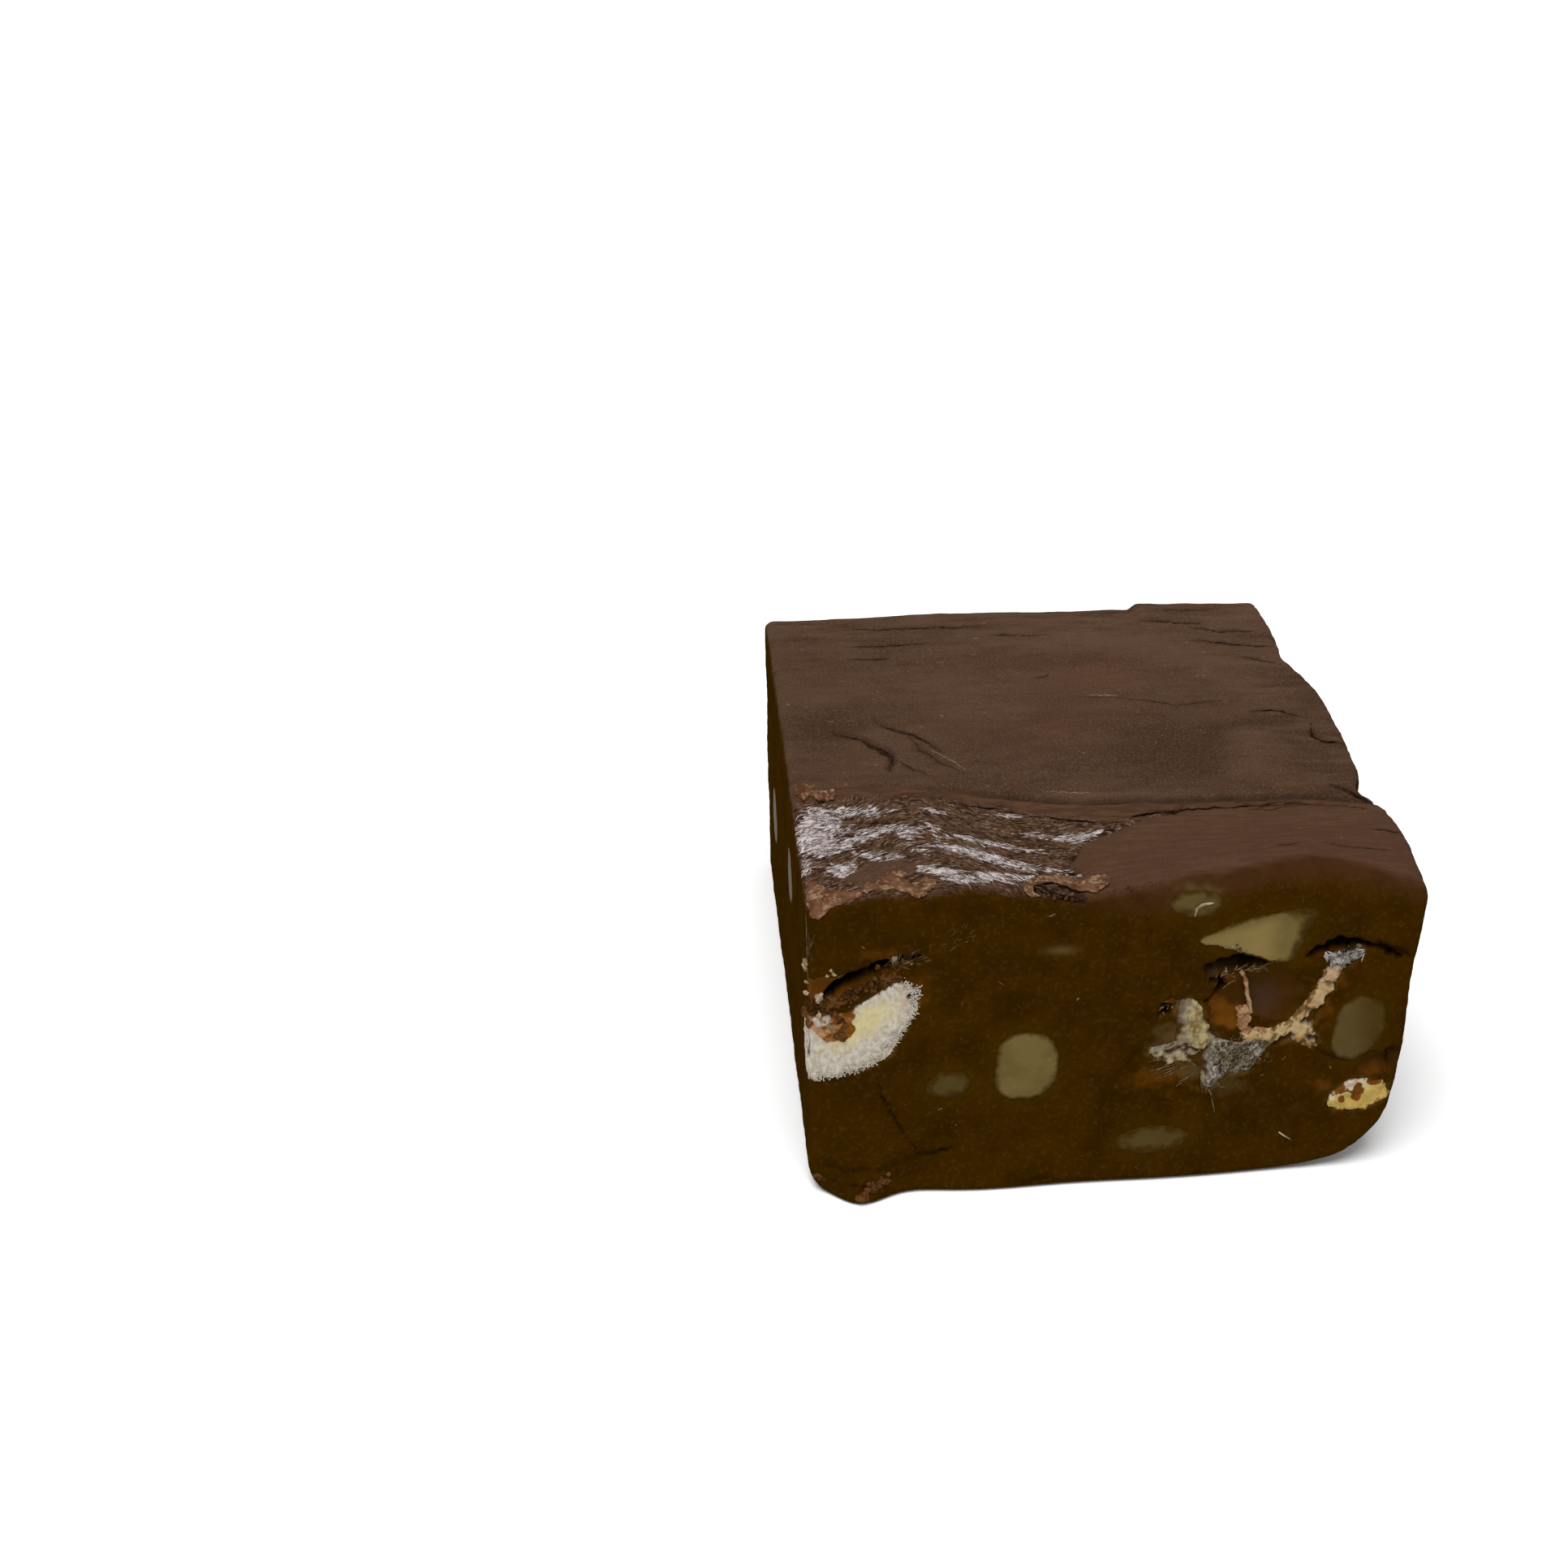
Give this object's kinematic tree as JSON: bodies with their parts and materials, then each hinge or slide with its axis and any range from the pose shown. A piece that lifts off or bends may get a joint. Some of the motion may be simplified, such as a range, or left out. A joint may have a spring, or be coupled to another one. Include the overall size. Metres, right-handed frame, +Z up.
{
  "type": "fudge",
  "caption": "Square-cut block of chocolate rocky-road fudge, with chopped nuts and marshmallow showing in its cut sides and streaked over its top front edge.",
  "frame": {"origin": "middle of the bounding box's underside, on the surface that the block rests on", "axes": "+X to the right along the cut front, +Y to the back, +Z up; the cut front faces -Y"},
  "size_m": [0.0536, 0.0609, 0.0305],
  "materials": {
    "fudge": "soft, dull, slightly waxy dark chocolate fudge; greyer and smoother on the poured top, darker olive brown where cut",
    "nut": "cut nut, dull, smeared with fudge at its rim",
    "marshmallow": "cut and torn marshmallow, fibrous, white to cream, stained by fudge"
  },
  "bodies": {
    "root": {"fudge": "fudge", "nut_round": "nut", "nut_wedge": "nut", "nut_top": "nut", "nut_right": "nut", "nut_faint": "nut", "nut_low": "nut", "nut_side_front": "nut", "nut_side_back": "nut", "nut_back_high": "nut", "nut_back_low": "nut", "nut_left_back": "nut", "nut_left_front": "nut", "marshmallow_left": "marshmallow", "marshmallow_torn": "marshmallow", "marshmallow_corner": "marshmallow", "marshmallow_back": "marshmallow", "marshmallow_side": "marshmallow"}
  },
  "joints": []
}
